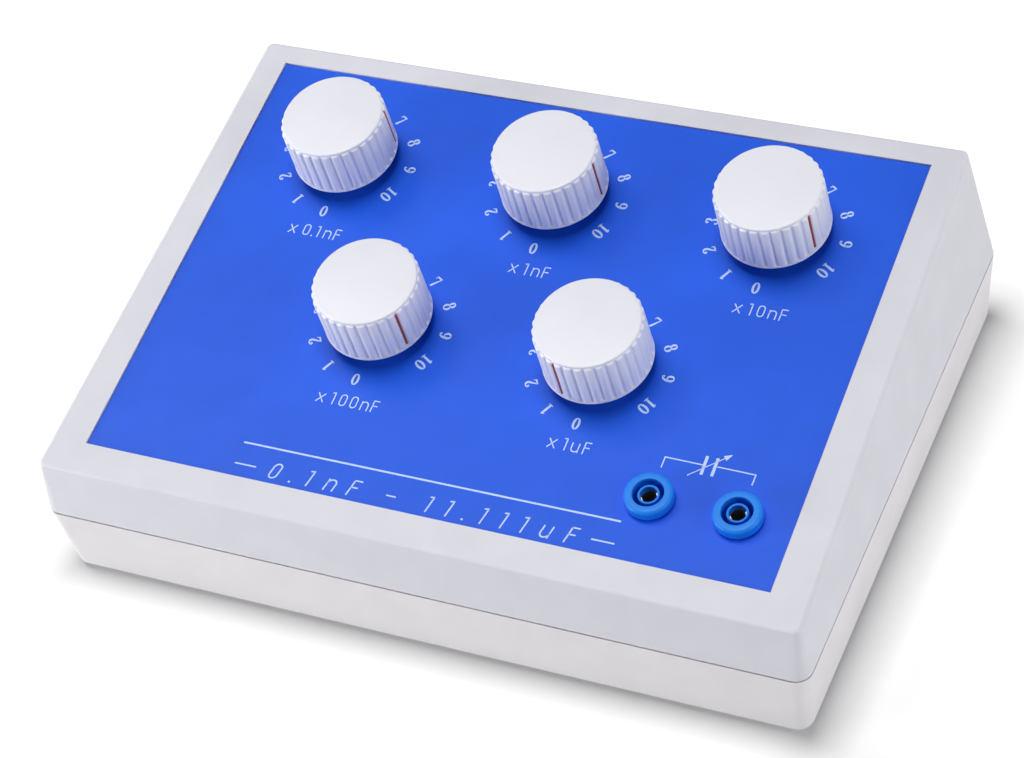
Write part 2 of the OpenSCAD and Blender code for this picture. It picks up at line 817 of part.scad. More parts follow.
// Places of a switch's pins: one for each number, and the common one
module at_pins() {
    for (number = NUMBERS)
        rotate([0, 0, number_angle(number)])
            translate([contact_ring_r, 0, 0])
                children();
    rotate([0, 0, number_angle(len(NUMBERS))])
        translate([common_r, 0, 0])
            children();
}
module switch_wafers() {
    color("saddlebrown")
        for (d = DIALS)
            on_dial(d)
                difference() {
                    disc(switch_r, wafer_under, wafer_top);
                    disc(tail_r + running_fit, wafer_under - CUT, wafer_top + CUT);
                    at_pins()
                        disc(pin_r + push_fit, wafer_under - CUT, wafer_top + CUT);
                    for (angle = rivet_angles)
                        rotate([0, 0, angle])
                            translate([rivet_pos_r, 0, 0])
                                disc(rivet_r + push_fit, wafer_under - CUT, wafer_top + CUT);
                }
}
module switch_rivets() {
    color("silver")
        for (d = DIALS)
            for (angle = rivet_angles)
                on_dial(d, angle)
                    translate([rivet_pos_r, 0, 0]) {
                        disc(rivet_r, wafer_under - EPS, race_top - tip_gap);
                        disc(rivet_head_r, wafer_under - rivet_head_h, wafer_under);
                    }
}
module switch_contacts() {
    color("gold")
        for (d = DIALS)
            on_dial(d)
                at_pins() {
                    disc(contact_head_r, wafer_top, head_top);
                    disc(pin_r, board_under - pin_stub, wafer_top + EPS);
                }
}

// Board
// Places of a decade's capacitors
module at_caps(d) {
    pitch = cap_size[d - 1][0] + cap_gap;
    for (k = CAPS)
        translate([dial_pos[d - 1][0] + (k - 1.5) * pitch, cap_row[d - 1], 0])
            children();
}
module at_legs(d) {
    at_caps(d)
        for (end = SIDES)
            translate([0, end * (cap_size[d - 1][1] / 2 - leg_inset), 0])
                children();
}
module circuit_board() {
    color("darkgreen")
        on_panel()
            difference() {
                translate([-board_w / 2, board_front, board_under])
                    cube([board_w, board_back - board_front, board_t]);
                for (p = dial_pos)
                    translate([p[0], p[1], 0])
                        at_pins()
                            disc(pin_r + clear_fit, board_under - CUT, board_top + CUT);
                for (d = DIALS)
                    at_legs(d)
                        disc(leg_r + push_fit, board_under - CUT, board_top + CUT);
                for (s = SOCKETS)
                    translate([socket_place(s) + lead_shift, lead_pad_y, 0])
                        disc(lead_r + clear_fit, board_under - CUT, board_top + CUT);
            }
}
module capacitors(d) {
    size = cap_size[d - 1];
    top = board_under - cap_stand;
    color("firebrick")
        on_panel() {
            at_caps(d)
                slab(size[0], size[1], top - size[2], top);
            at_legs(d)
                disc(leg_r, top - EPS, board_top + leg_stub);
        }
}

// Sockets
module socket_housings() {
    color("dodgerblue")
        on_sockets()
            difference() {
                union() {
                    disc(flange_r, 0, flange_h - flange_bevel);
                    translate([0, 0, flange_h - flange_bevel])
                        cylinder(r1 = flange_r, r2 = flange_r - flange_bevel, h = flange_bevel);
                    disc(barrel_r, -barrel_l, EPS);
                }
                disc(slot_r, -slot_depth, flange_h + CUT);
                disc(sleeve_r + push_fit, -barrel_l - CUT, flange_h);
            }
}
module socket_sleeves() {
    color("dodgerblue")
        on_sockets()
            difference() {
                disc(sleeve_r, -barrel_l, sleeve_top);
                disc(contact_r + push_fit, -barrel_l - CUT, contact_top + push_fit);
                disc(mouth_r, contact_top, sleeve_top + CUT);
            }
}
module socket_contacts() {
    color("gold")
        on_sockets()
            difference() {
                union() {
                    disc(contact_r, -barrel_l, contact_top);
                    disc(solder_tail_r, tail_end, -barrel_l + EPS);
                }
                disc(plug_bore_r, bore_under, contact_top + CUT);
            }
}
module socket_nuts() {
    color("silver")
        on_sockets()
            difference() {
                hexagon(socket_nut_af, plate_under - socket_nut_t, plate_under);
                disc(barrel_r + push_fit, plate_under - socket_nut_t - CUT, plate_under + CUT);
            }
}

// Route of a lead from its socket's tail, at [0, 0, 0], up through the board
lead_rise = board_top + pin_stub - tail_end;
lead_run = lead_pad_y - socket_y;
lead_route = [
    [0, 0, 0], [0, 0, -1.5], [-0.3, 0.8, -3], [-1, 2.6, -3.9], [-2.2, 5, -3.4], [-3.5, 7.6, -1.2],
    [-4.7, lead_run - 6, 2], [-5.6, lead_run - 3, 5], [-5.95, lead_run - 0.8, 7.6],
    [lead_shift, lead_run, 9.8], [lead_shift, lead_run, lead_rise]
];
LEAD_SIDES = 8;
function unit(v) = v / norm(v);
function tangent(route, k) = unit(route[min(k + 1, len(route) - 1)] - route[max(k - 1, 0)]);
// Ring of points round a route, kept level with the X axis
function lead_ring(route, k) =
    let (t = tangent(route, k), b = unit(cross(t, [1, 0, 0])), a = cross(b, t))
    [for (s = [0 : LEAD_SIDES - 1])
        route[k] + lead_r * (cos(s * 360 / LEAD_SIDES) * a + sin(s * 360 / LEAD_SIDES) * b)];
module tube(route) {
    last = len(route) - 1;
    points = [for (k = [0 : last]) each lead_ring(route, k)];
    sides = [for (k = [0 : last - 1], s = [0 : LEAD_SIDES - 1])
        let (n = (s + 1) % LEAD_SIDES, low = k * LEAD_SIDES, high = low + LEAD_SIDES)
        each [[low + s, high + s, high + n], [low + s, high + n, low + n]]];
    start = [for (s = [1 : LEAD_SIDES - 2]) [0, s, s + 1]];
    end = [for (s = [1 : LEAD_SIDES - 2]) [0, s + 1, s] + last * LEAD_SIDES * [1, 1, 1]];
    polyhedron(points = points, faces = concat(sides, start, end));
}
module socket_leads() {
    color("black")
        on_sockets()
            translate([0, 0, tail_end])
                tube(lead_route);
}

upper_shell();
lower_shell();
case_screws();
rubber_feet();
panel_film();
panel_plate();
panel_screws();
for (d = DIALS) {
    knob(d);
    pointer(d);
    spindle(d);
    rotor(d);
    wiper(d);
    detent(d);
    switch_housing(d);
    capacitors(d);
}
switch_washers();
switch_nuts();
switch_wafers();
switch_rivets();
switch_contacts();
circuit_board();
socket_housings();
socket_sleeves();
socket_contacts();
socket_nuts();
socket_leads();
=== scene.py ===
import json
import math

import bmesh
import bpy
from mathutils import Matrix, Vector

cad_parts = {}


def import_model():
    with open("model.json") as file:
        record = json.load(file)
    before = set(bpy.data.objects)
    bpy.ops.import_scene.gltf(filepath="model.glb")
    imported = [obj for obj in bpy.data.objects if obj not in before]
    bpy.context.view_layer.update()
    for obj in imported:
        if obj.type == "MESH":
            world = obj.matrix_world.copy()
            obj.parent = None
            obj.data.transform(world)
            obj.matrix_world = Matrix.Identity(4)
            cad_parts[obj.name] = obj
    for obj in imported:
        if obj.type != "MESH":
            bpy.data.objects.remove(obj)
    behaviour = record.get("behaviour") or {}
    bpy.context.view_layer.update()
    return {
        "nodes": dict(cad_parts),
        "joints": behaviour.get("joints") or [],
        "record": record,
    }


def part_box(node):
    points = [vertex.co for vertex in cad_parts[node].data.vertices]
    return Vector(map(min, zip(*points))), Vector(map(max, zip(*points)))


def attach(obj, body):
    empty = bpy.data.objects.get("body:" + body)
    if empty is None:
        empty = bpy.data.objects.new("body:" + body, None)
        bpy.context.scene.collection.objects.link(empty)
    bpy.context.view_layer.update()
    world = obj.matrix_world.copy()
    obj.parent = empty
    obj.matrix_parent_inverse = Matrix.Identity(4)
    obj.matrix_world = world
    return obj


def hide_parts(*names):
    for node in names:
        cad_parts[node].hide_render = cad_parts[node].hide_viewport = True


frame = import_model()

# Looks of the capacitance decade box. Sizes are millimetres, angles are degrees, and colours are
# sRGB values from 0 to 255 unless a name says otherwise.
MM = 0.001

# Camera, set on the photograph's frame of 1024 by 758 pixels
IMAGE_W_PX = 1024
FOCAL_PX = 2981.6
SENSOR_W = 36.0
CAMERA_AIM = (9.2, -21.9, 45.3)
CAMERA_DISTANCE = 715.4
CAMERA_HEADING = 31.4
CAMERA_ELEVATION = 44.3
CAMERA_ROLL = -11.96

# Light: the point that the softboxes face, and the place, side length and power in watts of each
LAMP_AIM = (0, 0, 30)
LAMPS = {
    "lamp_top": ((-120, 0, 3000), 1300, 50.5),
    "lamp_key": ((-1500, 340, 2600), 1000, 16.8),
    "lamp_right": ((2800, -400, 1200), 1800, 23.0),
    "lamp_low_right": ((1400, -200, 180), 500, 2.9),
    "lamp_low_left": ((-800, -560, 110), 400, 6.2),
}

# Floor: its side length, its own grey, and the glow with which it lights the object. To the camera
# its glow rises from none at the object's foot, so that the shadow shows, to NEAR_GLOW at the
# distance NEAR_FADE, and to the white of the background at FAR_FADE. This is painted shade round
# the foot: the floor is darker there whatever the lamps do.
FLOOR_SIZE = 8000
FLOOR_GREY = 0.82
FLOOR_GLOW = 0.28
FOOT_HALF = (98, 72)
NEAR_FADE = 13
NEAR_GLOW = 0.3
FAR_FADE = 320

# Surfaces: the part of a noise's range that is used, how far the gloss strays, how many of its
# patches go to one of the colour's, the grain's detail, and the size of a metal's patches
NOISE_RANGE = (0.25, 0.75)
GLOSS_SPREAD = 0.04
GLOSS_PATCHES = 3
GRAIN_DETAIL = 4.0
METAL_PATCH = 4.0

# Edges: those over SHARP_ANGLE aren't shaded smooth, and BEVELS rounds those of some nodes
WELD_DISTANCE = 0.001
SHARP_ANGLE = 38
BEVEL_ANGLE = 50
BEVEL_SEGMENTS = 2
BEVELS = {"upper_shell": 0.12, "lower_shell": 0.12, "rubber_feet": 0.3}

# Panel and dials, with the place of 0 round a dial and the step from number to number
FILM_T = 0.25
DIALS = (1, 2, 3, 4, 5)
HIGHEST_NUMBER = 10
ZERO_ANGLE = -90
DIAL_STEP = 30

# Knobs, above the film. The rings of RIDGE_SLOPE, which end the ridges at the top, each have a drop
# from the cap and an inset.
KNOB_R = 13.7
KNOB_TOP_R = 13.6
KNOB_GAP = 3.5
KNOB_TOP = 17.69
KNOB_HOLLOW_TOP = 15.7
KNOB_WALL = 2.2
KNOB_FOOT_EDGE = 0.2
KNOB_SKIRT = 0.6
SKIRT_EDGE = 0.08
SKIRT_STEP = 0.05
CAP_R = 13.05
CAP_H = 0.7
CAP_EDGE = 0.5
RIDGE_SLOPE = ((0.38, 0.0), (0.3, 0.04), (0.0, 0.36))
RIDGE_CROWN = 0.15
FLUTES = 32
FLUTE_FLOOR_R = 13.1
FLUTE_HALF_W = 0.2
FLUTE_RUNOUT = 0.06
POINTS_PER_FLUTE = 20
KNOB_POINTS = FLUTES * POINTS_PER_FLUTE
POINTER_W = 0.55
POINTER_IN_R = 12.9
POINTER_OUT_R = 13.53
POINTER_EDGE = 0.12
POINTER_LOW = 4.8
POINTER_HIGH = 16.7
HUB_R = 5.4
HUB_BOTTOM = 5.8
HUB_BORE_R = 3.02
HUB_BORE_TOP = 13.8
ARC_STEPS = 6

# Sockets, above the film
SOCKET_PITCH = 21.8
FLANGE_R = 5.9
FLANGE_H = 3.2
FLANGE_EDGE = 0.95
FLANGE_FOOT_EDGE = 0.7
SLOT_R = 3.8
SLOT_EDGE = 0.15
SLOT_BOTTOM = -19.0
BARREL_R = 5.2
BARREL_BOTTOM = -24.0
SLEEVE_R = 2.65
SLEEVE_TOP = 2.4
SLEEVE_EDGE = 0.18
SLEEVE_SEAT_R = 2.67
MOUTH_R = 2.06
MOUTH_BOTTOM = 0.6
CONTACT_SEAT_R = 2.34
LATHE_POINTS = 96
LEAF_ANGLES = (22, 222)
LEAF_HALF_SPAN = 24
LEAF_T = 0.3
LEAF_HIGH = 1.25
LEAF_LOW = -5.0
LEAF_BULGE = 0.15
LEAF_STEPS = 8

# Print on the panel: its heights, the steps of curves and of round ends, the least cosine at a
# corner, and a dot's radius as a multiple of the half length of its straight part
INK_TOP = 0.03
INK_LOW = -0.02
CURVE_STEP = 20
END_STEPS = (30, 60, 85)
LEAST_MITRE = 0.6
DOT_ROUNDNESS = 10

# Bare edge of the film, which shows in the gap beside the panel; drawn light only at the front and
# on the right, it is partly a painted highlight
FILM_EDGE_OUT = 0.05
FILM_EDGE_W = 0.3

# Numbers round a dial: ring, height, and as shares of it the strokes' widths and the digits' pitch
NUMBER_RING_R = 17.2
NUMBER_H = 3.3
THIN = 0.075
THICK = 0.18
DIGIT_PITCH = 0.66

# Labels under the dials: heights of capitals and small letters, width of strokes, radii of a 0's
# ends, of the bends of n and u and of a point, and each label's words and place from its dial
CAP_LETTER_H = 3.45
SMALL_LETTER_H = 2.6
PEN = 0.3
ROUND_R = 0.775
ARCH_R = 0.875
POINT_R = 0.21
LABELS = {
    1: ("x0.1nF", (-6.8, -25.4)),
    2: ("x1nF", (-3.77, -25.4)),
    3: ("x10nF", (-3.45, -25.25)),
    4: ("x100nF", (-7.5, -25.4)),
    5: ("x1uF", (-4.75, -25.0)),
}

# Range of the box between two dashes, under a long rule
LEGEND = "0.1nF - 11.111uF"
LEGEND_SLANT = 12
LEGEND_SCALE = 1.3
LEGEND_TRACKING = 1.9
LEGEND_BASE = -60.85
RULE = ((-49.4, -52.6), (49.2, -52.4))
RULE_W = 0.5
DASHES = (((-49.2, -58.65), (-43.4, -58.65)), ((44.0, -58.5), (49.8, -58.5)))
DASH_W = 0.4

# Sign of an adjustable capacitor over the sockets
SIGN_LINES = (
    ((53.3, -36.2), (53.3, -33.15), (62.8, -33.25)),
    ((66.2, -33.0), (75.67, -33.1), (75.64, -36.0)),
)
SIGN_LINE_W = 0.32
SIGN_PLATES = (((63.1, -35.9), (63.0, -30.65)), ((65.68, -35.8), (65.65, -30.7)))
SIGN_PLATE_W = 0.75
ARROW = ((60.0, -36.8), (68.7, -29.05))
ARROW_LINE_W = 0.24
ARROW_TIP_W = 0.06
ARROW_HEAD_L = 2.0
ARROW_HEAD_W = 1.5


def linear(colour):
    """Scene-linear value of an sRGB colour, with alpha."""
    shares = [c / 255 for c in colour]
    return [s / 12.92 if s <= 0.04045 else ((s + 0.055) / 1.055) ** 2.4 for s in shares] + [1.0]


def panel_frame():
    """Matrix of the panel: X right, Y up the slope, Z square to it, origin at the film's middle."""
    right = Vector((1, 0, 0))
    normal = Vector(frame["joints"][0]["axis"]).normalized()
    low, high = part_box("panel_film")
    origin = (low + high) / 2 + normal * (FILM_T * MM / 2)
    turn = Matrix((right, normal.cross(right), normal)).transposed()
    return Matrix.Translation(origin) @ turn.to_4x4()


PANEL = panel_frame()
DIAL_ORIGINS = {j["child"]: Vector(j["pos_m"]) for j in frame["joints"]}


def on_panel(point):
    """Place on the panel, in millimetres, of a point in the part's frame."""
    local = PANEL.inverted() @ point
    return Vector((local.x, local.y)) / MM


def middle_on_panel(node):
    """Place on the panel of the middle of a node's box."""
    low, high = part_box(node)
    return on_panel((low + high) / 2)


def dial_place(dial):
    """Place of a dial's axis on the panel."""
    return on_panel(DIAL_ORIGINS[f"dial_{dial}"])


# Materials

def new_material(name):
    """Material with a principled shader: itself, its node tree and that shader."""
    material = bpy.data.materials.new(name)
    material.use_nodes = True
    return material, material.node_tree, material.node_tree.nodes["Principled BSDF"]


def noise(tree, size, detail=2.0):
    """Noise with features of the given size, in the object's own space."""
    place = tree.nodes.new("ShaderNodeTexCoord")
    texture = tree.nodes.new("ShaderNodeTexNoise")
    texture.inputs["Scale"].default_value = 1 / (size * MM)
    texture.inputs["Detail"].default_value = detail
    tree.links.new(place.outputs["Object"], texture.inputs["Vector"])
    return texture.outputs["Fac"]


def map_range(tree, value, start, end):
    """Maps a value from one range to another, whose limits are numbers or outputs of nodes."""
    mapped = tree.nodes.new("ShaderNodeMapRange")
    tree.links.new(value, mapped.inputs["Value"])
    for name, limit in zip(("From Min", "From Max", "To Min", "To Max"), (*start, *end)):
        if isinstance(limit, bpy.types.NodeSocket):
            tree.links.new(limit, mapped.inputs[name])
        else:
            mapped.inputs[name].default_value = limit
    return mapped.outputs["Result"]


def blotches(tree, value, colour, contrast):
    """Colour that varies by a share of itself with a noise."""
    ramp = tree.nodes.new("ShaderNodeValToRGB")
    shares = (1 - contrast, 1 + contrast)
    for element, position, share in zip(ramp.color_ramp.elements, NOISE_RANGE, shares):
        element.position = position
        element.color = [min(1.0, c * share) for c in linear(colour)[:3]] + [1.0]
    tree.links.new(value, ramp.inputs["Fac"])
    return ramp.outputs["Color"]


def surface(name, colour, roughness, grain, relief, contrast=0.03, patch=12.0, **constants):
    """Material with soft blotches of colour, uneven gloss and a fine grain in relief.

    grain and patch are the sizes of the grain and of the blotches, relief is the grain's height.
    constants are values of the shader's own sockets, with _ for a space.
    """
    material, tree, shader = new_material(name)
    for socket, value in constants.items():
        shader.inputs[socket.replace("_", " ")].default_value = value
    tint = blotches(tree, noise(tree, patch), colour, contrast)
    tree.links.new(tint, shader.inputs["Base Color"])
    limits = (roughness - GLOSS_SPREAD, roughness + GLOSS_SPREAD)
    gloss = map_range(tree, noise(tree, patch / GLOSS_PATCHES), NOISE_RANGE, limits)
    tree.links.new(gloss, shader.inputs["Roughness"])
    bump = tree.nodes.new("ShaderNodeBump")
    bump.inputs["Distance"].default_value = relief * MM
    tree.links.new(noise(tree, grain, GRAIN_DETAIL), bump.inputs["Height"])
    tree.links.new(bump.outputs["Normal"], shader.inputs["Normal"])
    return material


def metal(name, colour, roughness, grain, relief):
    """Bare metal, whose stains are smaller than those of a plastic."""
    return surface(name, colour, roughness, grain, relief, patch=METAL_PATCH, Metallic=1.0)


# By slot: colour, roughness, the grain's size and relief, and the blotches' contrast and size
MATERIALS = {
    "case_grey": surface("case_grey", (219, 219, 228), 0.52, 0.5, 0.012),
    # Partly painted light: the lower shell's own grey, made lighter than the upper's for light
    # thrown up by the floor
    "base_grey": surface("base_grey", (226, 223, 227), 0.52, 0.5, 0.012),
    "panel_blue": surface(
        "panel_blue", (28, 92, 228), 0.36, 0.25, 0.004, 0.04, Specular_IOR_Level=0.2
    ),
    "panel_aluminium": metal("panel_aluminium", (196, 198, 202), 0.35, 0.3, 0.004),
    "knob_white": surface("knob_white", (236, 237, 246), 0.34, 0.8, 0.004, 0.015),
    "pointer_red": surface("pointer_red", (164, 78, 64), 0.5, 0.2, 0.006, 0.12, 1.5),
    "socket_blue": surface(
        "socket_blue", (26, 132, 238), 0.4, 0.4, 0.004, Specular_IOR_Level=0.25
    ),
    "zinc_steel": metal("zinc_steel", (196, 198, 200), 0.32, 0.4, 0.004),
    "detent_steel": metal("detent_steel", (176, 178, 182), 0.22, 0.3, 0.002),
    "switch_zinc": metal("switch_zinc", (152, 154, 158), 0.5, 0.4, 0.01),
    "brass": metal("brass", (212, 176, 104), 0.3, 0.3, 0.004),
    # Painted shade: the contacts' nickel is a dark copy of the metal, so that the sockets' bores
    # look black
    "contact_nickel": metal("contact_nickel", (140, 138, 134), 0.42, 0.3, 0.002),
    "contact_tin": metal("contact_tin", (200, 198, 190), 0.35, 0.3, 0.004),
    "rotor_nylon": surface("rotor_nylon", (232, 226, 206), 0.45, 0.5, 0.006),
    "wafer_brown": surface("wafer_brown", (122, 76, 40), 0.6, 0.4, 0.01, 0.1, 3.0),
    "board_green": surface("board_green", (22, 88, 46), 0.4, 0.5, 0.006, 0.08),
    "capacitor_red": surface("capacitor_red", (156, 32, 26), 0.3, 0.6, 0.004, 0.05),
    "lead_black": surface("lead_black", (26, 26, 27), 0.45, 0.4, 0.006, 0.1, 3.0),
    "foot_rubber": surface("foot_rubber", (48, 48, 49), 0.75, 0.4, 0.03, 0.12, 3.0),
}
# Painted highlight: the leaves' metal is a much lighter copy of the contacts' nickel, so that they
# glint
LEAF_GLINT_METAL = metal("leaf_glint_metal", (236, 234, 228), 0.16, 0.3, 0.001)
INK = surface("print_white", (190, 214, 254), 0.45, 0.3, 0.003, 0.05, 1.5)
# Painted highlight: the film's bare edge in light grey, drawn only where the light catches it
FILM_EDGE_HIGHLIGHT = surface("film_edge", (188, 185, 178), 0.5, 0.4, 0.004, 0.05, 2.0)


# The frame's own nodes

def smoothing_group():
    """Modifier that welds a mesh and shades it smooth, except across sharp edges."""
    group = bpy.data.node_groups.new("smooth_by_angle", "GeometryNodeTree")
    group.interface.new_socket("Mesh", in_out="INPUT", socket_type="NodeSocketGeometry")
    group.interface.new_socket("Mesh", in_out="OUTPUT", socket_type="NodeSocketGeometry")
    begin = group.nodes.new("NodeGroupInput")
    weld = group.nodes.new("GeometryNodeMergeByDistance")
    weld.inputs["Distance"].default_value = WELD_DISTANCE * MM
    smooth_faces = group.nodes.new("GeometryNodeSetShadeSmooth")
    smooth_faces.domain = "FACE"
    angle = group.nodes.new("GeometryNodeInputMeshEdgeAngle")
    soft = group.nodes.new("FunctionNodeCompare")
    soft.operation = "LESS_EQUAL"
    soft.inputs["B"].default_value = math.radians(SHARP_ANGLE)
    smooth_edges = group.nodes.new("GeometryNodeSetShadeSmooth")
    smooth_edges.domain = "EDGE"
    end = group.nodes.new("NodeGroupOutput")
    group.links.new(begin.outputs[0], weld.inputs["Geometry"])
    group.links.new(weld.outputs["Geometry"], smooth_faces.inputs["Geometry"])
    group.links.new(smooth_faces.outputs["Geometry"], smooth_edges.inputs["Geometry"])
    group.links.new(angle.outputs["Unsigned Angle"], soft.inputs["A"])
    group.links.new(soft.outputs["Result"], smooth_edges.inputs["Shade Smooth"])
    group.links.new(smooth_edges.outputs["Geometry"], end.inputs[0])
    return group


def dress_nodes():
    """Gives each node of the frame its slot's material, smooth shading and small edge bevels."""
    slots = {s["node"]: s["material_slot"] for s in frame["record"]["subparts"]}
    group = smoothing_group()
    for name, node in frame["nodes"].items():
        node.data.materials.clear()
        node.data.materials.append(MATERIALS[slots[name]])
        node.modifiers.new("smoothing", "NODES").node_group = group
        if name in BEVELS:
            bevel = node.modifiers.new("edges", "BEVEL")
            bevel.width = BEVELS[name] * MM
            bevel.segments = BEVEL_SEGMENTS
            bevel.limit_method = "ANGLE"
            bevel.angle_limit = math.radians(BEVEL_ANGLE)
        weighted = node.modifiers.new("flat_faces", "WEIGHTED_NORMAL")
        weighted.keep_sharp = True


# New pieces

class Shape:
    """Vertices, in millimetres on the panel, and faces of one piece."""

    def __init__(self):
        self.verts = []
        self.faces = []

    def loft(self, rings, closed=False):
        """Skins rings of equally many points: round and back to the first ring, or capped."""
        first = len(self.verts)
        count = len(rings[0])
        for ring in rings:
            self.verts.extend(ring)
        for k in range(len(rings) if closed else len(rings) - 1):
            low = first + k * count
            high = first + (k + 1) % len(rings) * count
            for i in range(count):
                j = (i + 1) % count
                self.faces.append((low + i, low + j, high + j, high + i))
        if not closed:
            self.faces.append(tuple(range(first, first + count)))
            self.faces.append(tuple(range(len(self.verts) - count, len(self.verts))))

    def stroke(self, path, closed=False):
        """Printed stroke along a path of (x, y, width) points."""
        rings = []
        for k, (x, y, width) in enumerate(path):
            here = Vector((x, y))
            before = Vector(path[k - 1][:2]) if closed or k > 0 else here
            after = Vector(path[(k + 1) % len(path)][:2]) if closed or k < len(path) - 1 else here
            steps = [(here - before).normalized(), (after - here).normalized()]
            along = (steps[0] + steps[1]).normalized()
            mitre = max(LEAST_MITRE, max(along.dot(step) for step in steps))
            side = Vector((-along.y, along.x)) * (width / 2 / mitre)
            left = here + side
            right = here - side
            rings.append([(*left, INK_LOW), (*right, INK_LOW), (*right, INK_TOP), (*left, INK_TOP)])
        self.loft(rings, closed)

    def piece(self, name, material, body, place=PANEL):
        """Object of this shape, set at a place, that rides on a body."""
        mesh = bpy.data.meshes.new(name)
        mesh.from_pydata([place @ (Vector(v) * MM) for v in self.verts], [], self.faces)
        tidy = bmesh.new()
        tidy.from_mesh(mesh)
        bmesh.ops.recalc_face_normals(tidy, faces=tidy.faces)
        tidy.to_mesh(mesh)
        tidy.free()
        mesh.shade_smooth()
        mesh.set_sharp_from_angle(angle=math.radians(SHARP_ANGLE))
        mesh.materials.append(material)
        piece = bpy.data.objects.new(name, mesh)
        bpy.context.scene.collection.objects.link(piece)
        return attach(piece, body)


def arc(centre_r, centre_z, radius, start, end):
    """Points (radius, height) of an arc of a lathe's profile."""
    angles = [math.radians(start + (end - start) * k / ARC_STEPS) for k in range(ARC_STEPS + 1)]
    return [(centre_r + radius * math.cos(a), centre_z + radius * math.sin(a)) for a in angles]


def circle(radius, height, count):
    """Ring of points of one radius."""
    angles = [2 * math.pi * k / count for k in range(count)]
    return [(radius * math.cos(a), radius * math.sin(a), height) for a in angles]


def fluted(height, inset=0.0):
    """Ring of points cut by a knob's flutes, of which one is at +X, and drawn in by an inset."""
    rise = (height - KNOB_GAP) / (KNOB_TOP - KNOB_GAP)
    wall_r = KNOB_R - SKIRT_STEP + (KNOB_TOP_R - KNOB_R) * rise - inset
    edge_r = max(FLUTE_FLOOR_R, wall_r - RIDGE_CROWN)
    ring = []
    for k in range(KNOB_POINTS):
        share = k % POINTS_PER_FLUTE / POINTS_PER_FLUTE
        from_flute = min(share, 1 - share)
        if from_flute < FLUTE_HALF_W:
            r = FLUTE_FLOOR_R + (edge_r - FLUTE_FLOOR_R) * (from_flute / FLUTE_HALF_W) ** 2
        else:
            r = wall_r + (edge_r - wall_r) * ((0.5 - from_flute) / (0.5 - FLUTE_HALF_W)) ** 2
        angle = 2 * math.pi * k / KNOB_POINTS
        ring.append((r * math.cos(angle), r * math.sin(angle), height))
    return ring


def knob_place(dial):
    """Matrix of a knob, whose +X is where its pointer is."""
    pointer_way = middle_on_panel(f"pointer_{dial}") - dial_place(dial)
    place = PANEL @ Matrix.Rotation(math.atan2(pointer_way.y, pointer_way.x), 4, "Z")
    place.translation = DIAL_ORIGINS[f"dial_{dial}"]
    return place


def knob(dial):
    """Fluted knob with a round cap, hollow underneath, with a hub for its spindle."""
    skirt_top = KNOB_GAP + KNOB_SKIRT
    flute_top = KNOB_TOP - CAP_H
    hollow_r = KNOB_R - KNOB_WALL
    lower = [(HUB_BORE_R, HUB_BORE_TOP), (HUB_BORE_R, HUB_BOTTOM), (HUB_R, HUB_BOTTOM)]
    lower += [(HUB_R, KNOB_HOLLOW_TOP), (hollow_r, KNOB_HOLLOW_TOP), (hollow_r, KNOB_GAP)]
    lower += arc(KNOB_R - KNOB_FOOT_EDGE, KNOB_GAP + KNOB_FOOT_EDGE, KNOB_FOOT_EDGE, -90, 0)
    lower += [(KNOB_R, skirt_top - SKIRT_EDGE), (KNOB_R - SKIRT_EDGE, skirt_top)]
    cap = [(CAP_R, flute_top)] + arc(CAP_R - CAP_EDGE, KNOB_TOP - CAP_EDGE, CAP_EDGE, 0, 90)
    rings = [circle(r, z, KNOB_POINTS) for r, z in lower]
    rings.append(fluted(skirt_top + FLUTE_RUNOUT))
    rings += [fluted(flute_top - drop, inset) for drop, inset in RIDGE_SLOPE]
    rings += [circle(r, z, KNOB_POINTS) for r, z in cap]
    shape = Shape()
    shape.loft(rings)
    place = knob_place(dial)
    piece = shape.piece(f"fluted_knob_{dial}", MATERIALS["knob_white"], f"dial_{dial}", place)
    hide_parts(f"knob_{dial}")


def pointer(dial):
    """Painted line that fills the flute at a knob's own +X, with rounded edges."""
    rings = []
    steps = (
        (POINTER_LOW, 1),
        (POINTER_LOW + POINTER_EDGE, 0),
        (POINTER_HIGH - POINTER_EDGE, 0),
        (POINTER_HIGH, 1),
    )
    for z, drawn_in in steps:
        half = POINTER_W / 2 - drawn_in * POINTER_EDGE
        out_r = POINTER_OUT_R - drawn_in * POINTER_EDGE
        shoulder_r = out_r - POINTER_EDGE
        flank = half - POINTER_EDGE
        section = [(POINTER_IN_R, -half), (shoulder_r, -half), (out_r, -flank)]
        section += [(r, -y) for r, y in section[::-1]]
        rings.append([(r, y, z) for r, y in section])
    shape = Shape()
    shape.loft(rings)
    place = knob_place(dial)
    piece = shape.piece(f"painted_pointer_{dial}", MATERIALS["pointer_red"], f"dial_{dial}", place)
    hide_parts(f"pointer_{dial}")


def socket_places():
    """Places on the panel of the two sockets' axes."""
    middle = middle_on_panel("socket_sleeves")
    return [(middle.x + side * SOCKET_PITCH / 2, middle.y) for side in (-1, 1)]


